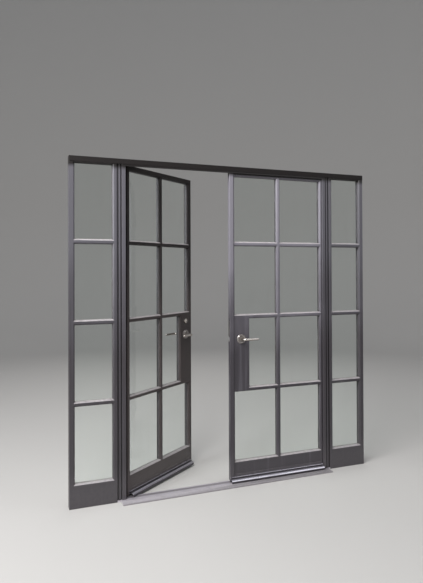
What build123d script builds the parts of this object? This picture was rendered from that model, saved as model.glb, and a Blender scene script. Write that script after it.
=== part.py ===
# A pair of glazed steel french doors in their frame, with a fixed sidelight on each side.
# X runs along the wall, +Y points into the room, +Z is up, all sizes in millimetres.
# The origin is at the middle of the sill line, on the outer face of the frame.
# The left leaf is the active one. It is modelled shut and then swung into the room.
from build123d import *
import os

# Overall sizes of the unit
unit_width = 2144.0
unit_height = 2147.0
frame_depth = 50.0

# Widths along the wall, from the middle of the unit outwards
door_clear_width = 1444.0
lip_face = 26.0
lip_overlap = 13.0
leaf_gap = 3.0
meeting_gap = 4.0
mullion_fin = 12.0
groove_inner = 7.0
groove_outer = 11.0
sidelight_stile = 26.0
outer_stile = 33.0

# Heights above the sill
head_face = 40.0
head_drop = 4.0
kick_top = 147.0
leaf_bottom = 14.0
leaf_top_rail = 33.0
threshold_height = 10.0

# Glazing bars, shared by leaves and sidelights
pane_rows = 4
bar_face = 28.0
glazing_slope = 7.0
edge_round = 3.5
glass_bite = 11.0
glass_setback = 18.0
glass_thickness = 6.0
glass_clearance = 3.0
bead_inset = 4.0
bead_chamfer = 4.0

# Door leaves
leaf_setback = 12.0
leaf_thickness = 44.0
stile_face = 30.0
lock_box_width = 110.0
flange_thickness = 5.0
flange_overlap = 9.0
seal_gap = 1.0
lip_thickness = 9.0
meeting_lip_front = 2.0
meeting_lip_reach = 9.0
meeting_lip_hold = 17.0
inner_lip_reach = 14.0
inner_lip_hold = 20.0
inner_lip_thickness = 6.0
opening_angle = 37.0

# Kick panel and weather bar at the foot of each leaf
kick_recess = 0.8
kick_margin = 0.5
kick_rail = 14.0
foot_rail = 46.0
weather_height = 31.0
weather_plate = 3.0
weather_reach = 36.0
weather_wall = 2.6
weather_ridge = 6.0
weather_lead = 10.0
weather_short = 22.0

# Threshold
threshold_nose = 68.0
threshold_nose_height = 6.0
threshold_flat = 16.0
threshold_wall = 3.0
rib_count = 8
rib_depth = 1.6

# Hinges
hinge_inset = 224.0
knuckle_radius = 6.5
knuckle_clearance = 0.7
hinge_length = 102.0
hinge_gap = 0.5
pin_radius = 3.2
pin_clearance = 0.06
hinge_plate = 3.0
hinge_plate_width = 34.0
hinge_axis_out = 8.0
pin_cap_radius = 5.0
pin_cap_height = 8.0

# Lever handles
backset = 75.0
rose_radius = 32.0
rose_thickness = 9.0
neck_radius = 9.0
neck_clearance = 0.4
neck_reach = 58.0
elbow_radius = 14.0
lever_length = 105.0
lever_taper = 1.0
lever_tip_round = 4.0
spindle_side = 8.0
spindle_clearance = 0.6

# Lock in the active leaf
lock_row = 1
turn_drop = 40.0
handle_drop = 98.0
case_head = 42.0
case_foot = 70.0
case_depth = 92.0
case_thickness = 18.0
faceplate_thickness = 3.0
faceplate_width = 24.0
faceplate_end = 12.0
latch_throw = 11.0
latch_height = 20.0
latch_thickness = 12.0
deadbolt_throw = 20.0
deadbolt_height = 26.0
deadbolt_thickness = 14.0
bolt_clearance = 0.4
collar_radius = 17.0
collar_thickness = 10.0
plug_radius = 7.0
plug_clearance = 0.3
strike_thickness = 1.5
strike_room = 3.0

# Shoot bolts in the standing leaf
shoot_radius = 5.0
shoot_clearance = 0.3
shoot_throw = 14.0
shoot_inset = 11.0
shoot_top_gap = 52.0
shoot_bottom_gap = 60.0
keeper_room = 1.2

# Fixing holes through the outer stiles into the wall
fixing_radius = 4.0
fixing_depth = 36.0
fixing_inset = 300.0
head_trim_thickness = 2.5

# Places worked out from the sizes above
half_width = unit_width / 2
lip_edge = door_clear_width / 2
jamb_outer = lip_edge + lip_face
leaf_edge = lip_edge + lip_overlap
jamb_web = leaf_edge + leaf_gap
fin_start = jamb_outer + groove_inner
fin_end = fin_start + mullion_fin
side_start = fin_end + groove_outer
side_glass_start = side_start + sidelight_stile
side_glass_end = half_width - outer_stile
meeting_edge = meeting_gap / 2
lock_stile_end = meeting_edge + stile_face
lock_box_end = lock_stile_end + lock_box_width
hinge_stile_start = leaf_edge - stile_face
upright_bar_start = (lock_stile_end + hinge_stile_start - bar_face) / 2
upright_bar_end = upright_bar_start + bar_face

glass_top = unit_height - head_face
door_head = glass_top - head_drop
leaf_top = door_head + lip_overlap
leaf_glass_top = leaf_top - leaf_top_rail
row_height = (glass_top - kick_top - (pane_rows - 1) * bar_face) / pane_rows
row_pitch = row_height + bar_face

turn_height = kick_top + (lock_row + 1) * row_pitch - bar_face - turn_drop
handle_height = turn_height - handle_drop
case_low = handle_height - case_foot
case_high = turn_height + case_head
shoot_top_start = turn_height + shoot_top_gap
shoot_bottom_start = handle_height - shoot_bottom_gap
hinge_low = leaf_bottom + hinge_inset
hinge_high = leaf_top - hinge_inset
hinge_heights = (hinge_low, (hinge_low + hinge_high) / 2, hinge_high)
fixing_heights = (fixing_inset, unit_height - fixing_inset)

leaf_back = leaf_setback + leaf_thickness
leaf_glass_front = leaf_setback + glass_setback
leaf_glass_back = leaf_glass_front + glass_thickness
side_glass_back = glass_setback + glass_thickness
case_middle = leaf_setback + leaf_thickness / 2
hinge_x = leaf_edge + leaf_gap + hinge_axis_out + knuckle_radius - 0.5
hinge_y = leaf_back + knuckle_clearance + knuckle_radius
handle_x = meeting_edge + backset
shoot_x = meeting_edge + shoot_inset

sides = {"left": -1, "right": 1}
left_hinge_axis = Axis((-hinge_x, hinge_y, 0), (0, 0, 1))

os.makedirs("parts", exist_ok=True)


def save(shape, name):
    """Label a finished piece and write it to its own file."""
    shape.label = name
    export_step(shape, f"parts/{name}.step")


def swing(shape):
    """Move a piece of the active leaf from shut to its open place."""
    return shape.rotate(left_hinge_axis, opening_angle)


def facing(depth):
    """Upright drawing plane at a depth behind the outer face, drawn as seen from outside."""
    return Plane.XZ.offset(-depth)


def area(x0, x1, z0, z1, mode=Mode.ADD):
    """Rectangle between two places along the wall and two heights."""
    with Locations(((x0 + x1) / 2, (z0 + z1) / 2)):
        Rectangle(abs(x1 - x0), abs(z1 - z0), mode=mode)


def slab(x0, x1, y0, y1, z0, z1, mode=Mode.ADD):
    """Block between two limits on each axis."""
    with Locations(((x0 + x1) / 2, (y0 + y1) / 2, (z0 + z1) / 2)):
        Box(abs(x1 - x0), abs(y1 - y0), abs(z1 - z0), mode=mode)


def row_limits(top):
    """Bottom and top of the glass in each row, lowest first."""
    rows = []
    for row in range(pane_rows):
        low = kick_top + row * row_pitch
        high = top if row == pane_rows - 1 else low + row_height
        rows.append((low, high))
    return rows


def leaf_openings(side):
    """Glass openings of a leaf, lowest row first, the lock side before the hinge side."""
    openings = []
    for row, (low, high) in enumerate(row_limits(leaf_glass_top)):
        lock_start = lock_box_end if row == lock_row else lock_stile_end
        openings.append((side * lock_start, side * upright_bar_start, low, high))
        openings.append((side * upright_bar_end, side * hinge_stile_start, low, high))
    return openings


def sidelight_openings(side):
    """Glass openings of a sidelight, lowest first."""
    return [(side * side_glass_start, side * side_glass_end, low, high)
            for low, high in row_limits(glass_top)]


def grown(opening, margin):
    """The same opening made larger by a margin on every side."""
    x0, x1, z0, z1 = opening
    step = margin if x1 > x0 else -margin
    return (x0 - step, x1 + step, z0 - margin, z1 + margin)


def front_edges(part):
    """Edges of the openings in the front face, for sloping them towards the glass."""
    face = part.faces().filter_by(Axis.Y).group_by(Axis.Y)[0].sort_by(SortBy.AREA)[-1]
    return [edge for wire in face.inner_wires() for edge in wire.edges()]


def bead_ring(opening, front, back):
    """Glazing bead round one pane, its inner corner cut back towards the room."""
    with BuildPart() as ring:
        with BuildSketch(facing(back)):
            area(*grown(opening, glass_bite))
            area(*opening, mode=Mode.SUBTRACT)
        extrude(amount=back - front)
        room_face = ring.faces().sort_by(Axis.Y)[-1]
        chamfer(room_face.inner_wires()[0].edges(), bead_chamfer)
    return ring.part


# Fixed frame round the doors: head and two jambs, welded, with the lip the leaves shut against
with BuildPart() as door_frame:
    with BuildSketch(facing(lip_thickness)):
        area(-jamb_outer, jamb_outer, threshold_height, unit_height)
        area(-lip_edge, lip_edge, 0, door_head, mode=Mode.SUBTRACT)
    extrude(amount=lip_thickness)
    fillet(door_frame.edges().filter_by(Axis.Z).group_by(Axis.Y)[0], edge_round)
    with BuildSketch(facing(frame_depth)):
        area(-jamb_outer, jamb_outer, threshold_height, unit_height)
        area(-jamb_web, jamb_web, 0, leaf_top + leaf_gap, mode=Mode.SUBTRACT)
    extrude(amount=frame_depth - lip_thickness)
    with BuildSketch(Plane.XY.offset(leaf_top + leaf_gap)):
        with Locations((shoot_x, case_middle)):
            Circle(shoot_radius + keeper_room)
    extrude(amount=shoot_throw, mode=Mode.SUBTRACT)
save(door_frame.part, "door_frame")

# Rubber seal behind the lip, on both jambs and under the head
with BuildPart() as frame_seal:
    seal_outer = leaf_edge - leaf_gap
    seal_inner = lip_edge + leaf_gap
    with BuildSketch(facing(leaf_setback - seal_gap / 2)):
        area(-seal_outer, seal_outer, threshold_height, leaf_top - leaf_gap)
        area(-seal_inner, seal_inner, 0, door_head + leaf_gap, mode=Mode.SUBTRACT)
    extrude(amount=leaf_setback - seal_gap / 2 - lip_thickness)
save(frame_seal.part, "frame_seal")

# Continuous metal trim over the heads of the three frames
with BuildPart() as head_trim:
    with BuildSketch(facing(0)):
        area(-half_width, half_width, glass_top + glazing_slope, unit_height)
    extrude(amount=head_trim_thickness)
    fillet(head_trim.edges().filter_by(Axis.X).group_by(Axis.Y)[0], head_trim_thickness / 2)
save(head_trim.part, "head_trim")

# Sidelights: one welded frame each, four panes and their glazing beads
for name, side in sides.items():
    openings = sidelight_openings(side)
    with BuildPart() as sidelight:
        with BuildSketch(facing(glass_setback)):
            area(side * side_start, side * half_width, 0, unit_height)
            for opening in openings:
                area(*opening, mode=Mode.SUBTRACT)
        extrude(amount=glass_setback)
        chamfer(front_edges(sidelight), glazing_slope)
        fillet(sidelight.edges().filter_by(Axis.Z).group_by(Axis.Y)[0]
               .sort_by(lambda edge: abs(edge.center().X))[0], edge_round)
        with BuildSketch(facing(frame_depth)):
            area(side * side_start, side * half_width, 0, unit_height)
            for opening in openings:
                area(*grown(opening, glass_bite), mode=Mode.SUBTRACT)
        extrude(amount=frame_depth - glass_setback)
        for height in fixing_heights:
            with Locations(Location((side * half_width, fixing_depth, height), (0, 90, 0))):
                Cylinder(fixing_radius, 2 * outer_stile, mode=Mode.SUBTRACT)
        with Locations((side * (side_glass_start + side_glass_end) / 2, fixing_depth, unit_height)):
            Cylinder(fixing_radius, 2 * head_face, mode=Mode.SUBTRACT)
    save(sidelight.part, f"{name}_sidelight_frame")
    for number, opening in enumerate(openings, start=1):
        with BuildPart() as pane:
            with BuildSketch(facing(side_glass_back)):
                area(*grown(opening, glass_bite - glass_clearance))
            extrude(amount=glass_thickness)
        save(pane.part, f"{name}_sidelight_pane_{number}")

side_rings = [bead_ring(opening, side_glass_back, frame_depth - bead_inset)
              for side in sides.values() for opening in sidelight_openings(side)]
with BuildPart() as sidelight_beads:
    add(side_rings)
save(sidelight_beads.part, "sidelight_beads")

# Mullions: the bar that couples each sidelight to the door frame, with its fin showing outside
for name, side in sides.items():
    fin_front = 2.0
    body_front = glass_setback - 6.0
    cover_thickness = leaf_back - frame_depth
    cover_gap = 7.0
    with BuildPart() as mullion:
        with BuildSketch(Plane.XY.offset(threshold_height)):
            area(side * fin_start, side * fin_end, fin_front, frame_depth)
            area(side * jamb_outer, side * side_start, body_front, frame_depth)
            area(side * (leaf_edge + flange_overlap + cover_gap), side * (side_glass_start - 8),
                 frame_depth, frame_depth + cover_thickness)
        extrude(amount=unit_height - threshold_height)
        fillet(mullion.edges().filter_by(Axis.Z).group_by(Axis.Y)[0], edge_round)
    save(mullion.part, f"{name}_mullion")

# Ribbed metal threshold between the sidelights, hollow underneath
with BuildPart() as threshold:
    slope_run = threshold_nose - threshold_flat
    slope_rise = threshold_height - threshold_nose_height
    with BuildSketch(Plane.YZ.offset(-side_start)):
        with BuildLine():
            Polyline((frame_depth, 0), (-threshold_nose, 0), (-threshold_nose, threshold_nose_height),
                     (-threshold_flat, threshold_height), (frame_depth, threshold_height),
                     (frame_depth, 0))
        make_face()
        rib_pitch = slope_run / (rib_count + 1)
        for rib in range(rib_count):
            along = (rib + 1) * rib_pitch
            height = threshold_nose_height + slope_rise * along / slope_run
            with Locations((along - threshold_nose, height)):
                Rectangle(rib_pitch / 2, 2 * rib_depth, mode=Mode.SUBTRACT)
        leg = 5.0
        area(-threshold_nose + leg, -leg, 0, threshold_nose_height - threshold_wall, mode=Mode.SUBTRACT)
        area(leg, frame_depth - leg, 0, threshold_height - threshold_wall, mode=Mode.SUBTRACT)
    extrude(amount=2 * side_start)
    for side in sides.values():
        slab(side * (fin_start + 2), side * side_start, -threshold_nose, 0, 0, threshold_height,
             mode=Mode.SUBTRACT)
    with Locations((shoot_x, case_middle, threshold_height / 2)):
        Cylinder(shoot_radius + keeper_room, threshold_height, mode=Mode.SUBTRACT)
save(threshold.part, "threshold")


def leaf_pieces(name, side):
    """Build one leaf shut in its frame and return its pieces by name."""
    pieces = {}
    openings = leaf_openings(side)
    kick_low = leaf_bottom + foot_rail
    kick_high = kick_top - kick_rail
    mortise = (side * meeting_edge, side * (meeting_edge + case_depth),
               case_middle - case_thickness / 2, case_middle + case_thickness / 2,
               case_low, case_high)
    with BuildPart() as leaf:
        with BuildSketch(facing(leaf_glass_front)):
            area(side * meeting_edge, side * leaf_edge, leaf_bottom, leaf_top)
            for opening in openings:
                area(*opening, mode=Mode.SUBTRACT)
        extrude(amount=glass_setback)
        chamfer(front_edges(leaf), glazing_slope)
        with BuildSketch(facing(leaf_glass_front)):
            area(side * lock_stile_end, side * hinge_stile_start, kick_low, kick_high)
        extrude(amount=glass_setback, mode=Mode.SUBTRACT)
        with BuildSketch(facing(leaf_back)):
            area(side * meeting_edge, side * leaf_edge, leaf_bottom, leaf_top)
            for opening in openings:
                area(*grown(opening, glass_bite), mode=Mode.SUBTRACT)
        extrude(amount=leaf_back - leaf_glass_front)
        with BuildSketch(facing(leaf_back)):
            area(side * lock_stile_end, side * (leaf_edge + flange_overlap),
                 leaf_bottom, leaf_top + flange_overlap)
            area(side * (lock_stile_end - 1), side * (leaf_edge - 1),
                 0, leaf_top - 1, mode=Mode.SUBTRACT)
        extrude(amount=flange_thickness)
        if side > 0:
            lip_back = leaf_setback - seal_gap
            lip_foot = leaf_bottom + weather_height + 1
            slab(-meeting_lip_reach, 0, meeting_lip_front, lip_back, lip_foot, door_head - 2)
            slab(0, meeting_edge + meeting_lip_hold, meeting_lip_front, leaf_setback,
                 lip_foot, door_head - 2)
            fillet(leaf.edges().filter_by(Axis.Z).group_by(Axis.Y)[0], edge_round)
            reach = strike_room + latch_throw
            slab(0, meeting_edge + reach, case_middle - latch_thickness / 2 - 1, leaf_back,
                 handle_height - latch_height / 2 - 2, handle_height + latch_height / 2 + 2,
                 mode=Mode.SUBTRACT)
            slab(0, meeting_edge + deadbolt_throw + 1,
                 case_middle - deadbolt_thickness / 2 - 1, case_middle + deadbolt_thickness / 2 + 1,
                 turn_height - deadbolt_height / 2 - 2, turn_height + deadbolt_height / 2 + 2,
                 mode=Mode.SUBTRACT)
            slab(0, meeting_edge + strike_thickness, case_middle - faceplate_width / 2, leaf_back,
                 handle_height - latch_height, turn_height + deadbolt_height, mode=Mode.SUBTRACT)
            bore = shoot_radius + shoot_clearance
            with Locations((shoot_x, case_middle, (shoot_top_start - shoot_throw + leaf_top) / 2)):
                Cylinder(bore, leaf_top - shoot_top_start + shoot_throw, mode=Mode.SUBTRACT)
            with Locations((shoot_x, case_middle, (shoot_bottom_start + shoot_throw + leaf_bottom) / 2)):
                Cylinder(bore, shoot_bottom_start + shoot_throw - leaf_bottom, mode=Mode.SUBTRACT)
        else:
            lip_z = (leaf_bottom, leaf_top)
            slab(-meeting_edge - inner_lip_hold, 0, leaf_back, leaf_back + inner_lip_thickness, *lip_z)
            slab(0, inner_lip_reach - meeting_edge, leaf_back + seal_gap,
                 leaf_back + inner_lip_thickness, *lip_z)
            slab(*mortise, mode=Mode.SUBTRACT)
            slab(-meeting_edge, -meeting_edge - faceplate_thickness,
                 case_middle - faceplate_width / 2, case_middle + faceplate_width / 2,
                 case_low - faceplate_end, case_high + faceplate_end, mode=Mode.SUBTRACT)
            with Locations(Location((side * handle_x, case_middle, turn_height), (90, 0, 0))):
                Cylinder(plug_radius + plug_clearance + 4, 2 * leaf_thickness, mode=Mode.SUBTRACT)
        with Locations(Location((side * handle_x, case_middle, handle_height), (90, 0, 0))):
            Cylinder(neck_radius + 2, 2 * leaf_thickness, mode=Mode.SUBTRACT)
    pieces[f"{name}_leaf_frame"] = leaf.part

    for number, opening in enumerate(openings, start=1):
        with BuildPart() as pane:
            with BuildSketch(facing(leaf_glass_back)):
                area(*grown(opening, glass_bite - glass_clearance))
            extrude(amount=glass_thickness)
        pieces[f"{name}_leaf_pane_{number}"] = pane.part

    rings = [bead_ring(opening, leaf_glass_back, leaf_back - bead_inset) for opening in openings]
    with BuildPart() as beads:
        add(rings)
    pieces[f"{name}_leaf_beads"] = beads.part

    with BuildPart() as kick:
        with BuildSketch(facing(leaf_glass_front)):
            area(side * (lock_stile_end + kick_margin), side * (hinge_stile_start - kick_margin),
                 kick_low + kick_margin, kick_high - kick_margin)
        extrude(amount=glass_setback - kick_recess)
    pieces[f"{name}_kick_panel"] = kick.part

    # Weather bar: back plate with a ridge on top and a hollow hood that throws rain clear.
    # The right one runs on under the meeting lip, the left one stops short of it.
    with BuildPart() as weather_bar:
        start = meeting_edge - weather_lead if side > 0 else -meeting_edge - weather_short
        end = side * (leaf_edge - leaf_gap - lip_overlap)
        top = leaf_bottom + weather_height
        plate_front = leaf_setback - weather_plate
        hood_top = top - 7.0
        hood_low = leaf_bottom - 1.0
        hood_front = leaf_setback - weather_reach
        hood_turn = hood_low + 9.0
        hood_crown = hood_top - 4.0
        with BuildSketch(Plane.YZ.offset(min(start, end))):
            area(plate_front, leaf_setback, hood_low, top)
            with Locations((plate_front - weather_ridge / 3, top - weather_ridge / 2)):
                SlotOverall(weather_ridge * 4 / 3, weather_ridge)
            with BuildLine():
                upper = Spline((plate_front + 1, hood_top), (plate_front - 20, hood_crown),
                               (hood_front, hood_turn))
                Line(upper @ 1, (hood_front, hood_low))
                Line((hood_front, hood_low), (hood_front + weather_wall, hood_low))
                Line((hood_front + weather_wall, hood_low), (hood_front + weather_wall, hood_turn - 1))
                lower = Spline((hood_front + weather_wall, hood_turn - 1),
                               (plate_front - 19, hood_crown - weather_wall),
                               (plate_front + 1, hood_top - weather_wall))
                Line(lower @ 1, upper @ 0)
            make_face()
        extrude(amount=abs(end - start))
        if side > 0:
            slab(start, meeting_edge, leaf_setback - seal_gap, leaf_setback, hood_low, top,
                 mode=Mode.SUBTRACT)
    pieces[f"{name}_weather_bar"] = weather_bar.part

    # Half of each hinge that turns with the leaf: its middle knuckle and plate
    with BuildPart() as hinges:
        knuckle = (hinge_length - 2 * hinge_gap) / 3
        for height in hinge_heights:
            with Locations((side * hinge_x, hinge_y, height)):
                Cylinder(knuckle_radius, knuckle)
            slab(side * (hinge_x - hinge_plate_width - hinge_axis_out), side * (hinge_x - 2),
                 leaf_back, leaf_back + hinge_plate, height - knuckle / 2, height + knuckle / 2)
            slab(side * (hinge_x - hinge_plate_width - hinge_axis_out),
                 side * (hinge_x - hinge_axis_out), leaf_back, leaf_back + hinge_plate,
                 height - hinge_length / 2, height + hinge_length / 2)
            with Locations((side * hinge_x, hinge_y, height)):
                Cylinder(pin_radius + pin_clearance, hinge_length, mode=Mode.SUBTRACT)
    pieces[f"{name}_hinge_leaves"] = hinges.part

    pieces[f"{name}_roses"] = roses(side)
    outside, inside = lever(side)
    pieces[f"{name}_outside_lever"] = outside
    pieces[f"{name}_inside_lever"] = inside
    return pieces


def roses(side):
    """Round roses on both faces of the leaf, each with a raised rim round a dished middle."""
    rim = 5.0
    dish = 3.0
    with BuildPart() as pair:
        for face, outward in ((leaf_setback, -1), (leaf_back, 1)):
            tip = face + outward * rose_thickness
            with BuildSketch(Plane.YZ.offset(side * handle_x)):
                with BuildLine():
                    Polyline((face, handle_height + neck_radius + neck_clearance),
                             (face, handle_height + rose_radius),
                             (tip - outward * 3, handle_height + rose_radius),
                             (tip, handle_height + rose_radius - 3),
                             (tip, handle_height + rose_radius - rim - 2),
                             (tip - outward * dish, handle_height + rose_radius - rim - 5),
                             (tip - outward * dish, handle_height + neck_radius + neck_clearance),
                             (face, handle_height + neck_radius + neck_clearance))
                make_face()
            revolve(axis=Axis((side * handle_x, 0, handle_height), (0, 1, 0)))
    return pair.part


def lever(side):
    """Outside lever with the spindle, and the inside lever that fits on it."""
    spindle_back = leaf_back + rose_thickness
    spindle_front = leaf_setback - rose_thickness
    result = []
    for outward, start in ((-1, leaf_setback), (1, leaf_back)):
        bend = start + outward * neck_reach
        elbow_x = side * (handle_x + elbow_radius)
        with BuildPart() as handle:
            neck_plane = Plane((side * handle_x, bend - outward * elbow_radius, handle_height),
                               x_dir=(0, 0, 1), z_dir=(0, outward, 0))
            with BuildSketch(neck_plane.offset(elbow_radius + 2 - neck_reach)):
                Circle(neck_radius)
            extrude(amount=neck_reach - elbow_radius - 2)
            with BuildSketch(neck_plane):
                Circle(neck_radius)
            turn_axis = Axis((elbow_x, bend - outward * elbow_radius, handle_height), (0, 0, 1))
            revolve(axis=turn_axis, revolution_arc=90 * outward * -side)
            with BuildSketch(Plane((elbow_x, bend, handle_height),
                                   x_dir=(0, 0, 1), z_dir=(side, 0, 0))):
                Circle(neck_radius)
            extrude(amount=lever_length - elbow_radius, taper=lever_taper)
            tip_edge = handle.edges().sort_by(lambda edge: side * edge.center().X)[-1]
            fillet(tip_edge, lever_tip_round)
            if outward < 0:
                slab(side * handle_x - spindle_side / 2, side * handle_x + spindle_side / 2,
                     start - neck_radius, spindle_back, handle_height - spindle_side / 2,
                     handle_height + spindle_side / 2)
            else:
                slab(side * handle_x - spindle_side / 2, side * handle_x + spindle_side / 2,
                     spindle_front, spindle_back, handle_height - spindle_side / 2,
                     handle_height + spindle_side / 2, mode=Mode.SUBTRACT)
        result.append(handle.part)
    return result


left_pieces = leaf_pieces("left", sides["left"])
right_pieces = leaf_pieces("right", sides["right"])
for piece_name, piece in left_pieces.items():
    save(swing(piece), piece_name)
for piece_name, piece in right_pieces.items():
    save(piece, piece_name)

# Halves of the hinges that stay on the frame, with two knuckles each
with BuildPart() as frame_hinges:
    knuckle = (hinge_length - 2 * hinge_gap) / 3
    for side in sides.values():
        for height in hinge_heights:
            for end in (-1, 1):
                middle = height + end * (hinge_length - knuckle) / 2
                with Locations((side * hinge_x, hinge_y, middle)):
                    Cylinder(knuckle_radius, knuckle)
                slab(side * (hinge_x + 1), side * (hinge_x + hinge_plate_width), leaf_back,
                     leaf_back + hinge_plate, middle - knuckle / 2, middle + knuckle / 2)
            slab(side * (hinge_x + hinge_axis_out), side * (hinge_x + hinge_plate_width), leaf_back,
                 leaf_back + hinge_plate, height - hinge_length / 2, height + hinge_length / 2)
            with Locations((side * hinge_x, hinge_y, height)):
                Cylinder(pin_radius, hinge_length, mode=Mode.SUBTRACT)
save(frame_hinges.part, "frame_hinge_halves")

# Hinge pins, each with a chamfered cap at both ends
with BuildPart() as hinge_pins:
    for side in sides.values():
        for height in hinge_heights:
            with Locations((side * hinge_x, hinge_y, height)):
                Cylinder(pin_radius, hinge_length)
            for end in (-1, 1):
                cap_middle = height + end * (hinge_length + pin_cap_height) / 2
                with Locations((side * hinge_x, hinge_y, cap_middle)):
                    Cylinder(pin_cap_radius, pin_cap_height)
    cap_ends = hinge_pins.edges().filter_by(GeomType.CIRCLE).filter_by(
        lambda edge: abs(edge.radius - pin_cap_radius) < 0.01)
    chamfer(cap_ends, 1.5)
save(hinge_pins.part, "hinge_pins")

# Mortise lock of the active leaf
with BuildPart() as lock_case:
    slab(-meeting_edge - faceplate_thickness, -meeting_edge - case_depth,
         case_middle - case_thickness / 2, case_middle + case_thickness / 2, case_low, case_high)
    slab(-meeting_edge, -meeting_edge - faceplate_thickness, case_middle - faceplate_width / 2,
         case_middle + faceplate_width / 2, case_low - faceplate_end, case_high + faceplate_end)
    for height, tall, thick in ((handle_height, latch_height, latch_thickness),
                                (turn_height, deadbolt_height, deadbolt_thickness)):
        slab(0, -meeting_edge - 40, case_middle - thick / 2 - bolt_clearance,
             case_middle + thick / 2 + bolt_clearance, height - tall / 2 - bolt_clearance,
             height + tall / 2 + bolt_clearance, mode=Mode.SUBTRACT)
    with Locations(Location((-handle_x, case_middle, handle_height), (90, 0, 0))):
        Cylinder(spindle_side * 0.7072 + spindle_clearance, 2 * case_thickness, mode=Mode.SUBTRACT)
    with Locations(Location((-handle_x, case_middle, turn_height), (90, 0, 0))):
        Cylinder(plug_radius + plug_clearance, 2 * case_thickness, mode=Mode.SUBTRACT)
save(swing(lock_case.part), "lock_case")

with BuildPart() as latch_bolt:
    slab(latch_throw - meeting_edge, -meeting_edge - 26, case_middle - latch_thickness / 2,
         case_middle + latch_thickness / 2, handle_height - latch_height / 2,
         handle_height + latch_height / 2)
    chamfer(latch_bolt.edges().filter_by(Axis.Z).group_by(Axis.X)[-1].sort_by(Axis.Y)[0],
            latch_thickness * 0.6, latch_throw * 0.75)
save(swing(latch_bolt.part), "latch_bolt")

with BuildPart() as deadbolt:
    slab(-meeting_edge, -meeting_edge - 38, case_middle - deadbolt_thickness / 2,
         case_middle + deadbolt_thickness / 2, turn_height - deadbolt_height / 2,
         turn_height + deadbolt_height / 2)
    fillet(deadbolt.edges().filter_by(Axis.Y).group_by(Axis.X)[-1], 2)
save(swing(deadbolt.part), "deadbolt")

# Round collar outside and inside round the key cylinder
with BuildPart() as cylinder_collars:
    for face, outward in ((leaf_setback, -1), (leaf_back, 1)):
        tip = face + outward * collar_thickness
        bore = plug_radius + plug_clearance
        with BuildSketch(Plane.YZ.offset(-handle_x)):
            with BuildLine():
                Polyline((face, turn_height + bore), (face, turn_height + collar_radius),
                         (tip - outward * 4, turn_height + collar_radius),
                         (tip, turn_height + collar_radius - 4), (tip, turn_height + bore),
                         (face, turn_height + bore))
            make_face()
        revolve(axis=Axis((-handle_x, 0, turn_height), (0, 1, 0)))
save(swing(cylinder_collars.part), "cylinder_collars")

with BuildPart() as key_plug:
    plug_front = leaf_setback - collar_thickness - 0.5
    with Locations(Location((-handle_x, (plug_front + case_middle) / 2, turn_height), (90, 0, 0))):
        Cylinder(plug_radius, case_middle - plug_front)
    slab(-handle_x - 0.8, -handle_x + 0.8, plug_front, plug_front + 4, turn_height - 4,
         turn_height + 4, mode=Mode.SUBTRACT)
save(swing(key_plug.part), "key_plug")

with BuildPart() as thumbturn:
    turn_back = leaf_back + collar_thickness + 3
    with Locations(Location((-handle_x, (turn_back + case_middle) / 2, turn_height), (90, 0, 0))):
        Cylinder(plug_radius, turn_back - case_middle)
    with Locations(Location((-handle_x, turn_back, turn_height), (90, 0, 0))):
        Cylinder(collar_radius * 0.7, 4)
    slab(-handle_x - 4, -handle_x + 4, turn_back, turn_back + 16, turn_height - 15, turn_height + 15)
    fillet(thumbturn.edges().filter_by(Axis.X).group_by(Axis.Y)[-1], 6)
save(swing(thumbturn.part), "thumbturn")

# Strike plate let into the edge of the standing leaf, open towards the room for the latch
with BuildPart() as strike_plate:
    slab(meeting_edge, meeting_edge + strike_thickness, case_middle - faceplate_width / 2, leaf_back,
         handle_height - latch_height, turn_height + deadbolt_height)
    slab(0, meeting_edge + strike_thickness, case_middle - latch_thickness / 2 - 1, leaf_back,
         handle_height - latch_height / 2 - 2, handle_height + latch_height / 2 + 2,
         mode=Mode.SUBTRACT)
    slab(0, meeting_edge + strike_thickness, case_middle - deadbolt_thickness / 2 - 1,
         case_middle + deadbolt_thickness / 2 + 1, turn_height - deadbolt_height / 2 - 2,
         turn_height + deadbolt_height / 2 + 2, mode=Mode.SUBTRACT)
save(strike_plate.part, "strike_plate")

# Shoot bolts that the standing leaf's handle throws into head and threshold
with BuildPart() as top_bolt:
    with Locations((shoot_x, case_middle, (shoot_top_start + leaf_top - 2) / 2)):
        Cylinder(shoot_radius, leaf_top - 2 - shoot_top_start)
save(top_bolt.part, "top_bolt")

with BuildPart() as bottom_bolt:
    with Locations((shoot_x, case_middle, (shoot_bottom_start + leaf_bottom + 2) / 2)):
        Cylinder(shoot_radius, shoot_bottom_start - leaf_bottom - 2)
save(bottom_bolt.part, "bottom_bolt")
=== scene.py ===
import math
import bmesh
import bpy
from mathutils import Matrix, Vector


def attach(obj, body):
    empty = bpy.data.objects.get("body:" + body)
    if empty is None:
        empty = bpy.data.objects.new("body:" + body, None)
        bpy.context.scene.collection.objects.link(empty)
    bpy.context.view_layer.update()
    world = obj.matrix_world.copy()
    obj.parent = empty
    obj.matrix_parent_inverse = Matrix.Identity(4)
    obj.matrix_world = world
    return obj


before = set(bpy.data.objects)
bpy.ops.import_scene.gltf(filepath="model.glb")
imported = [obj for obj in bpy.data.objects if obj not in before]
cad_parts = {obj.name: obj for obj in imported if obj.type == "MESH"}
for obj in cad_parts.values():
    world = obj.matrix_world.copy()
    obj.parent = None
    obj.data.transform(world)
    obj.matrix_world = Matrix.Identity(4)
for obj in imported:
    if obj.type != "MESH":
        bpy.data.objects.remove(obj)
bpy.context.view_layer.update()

# Threshold: one ribbed aluminium extrusion laid on the sill, mill finished and dulled by feet
# and rain. It is screwed down through its flat back, under the leaves.


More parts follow.
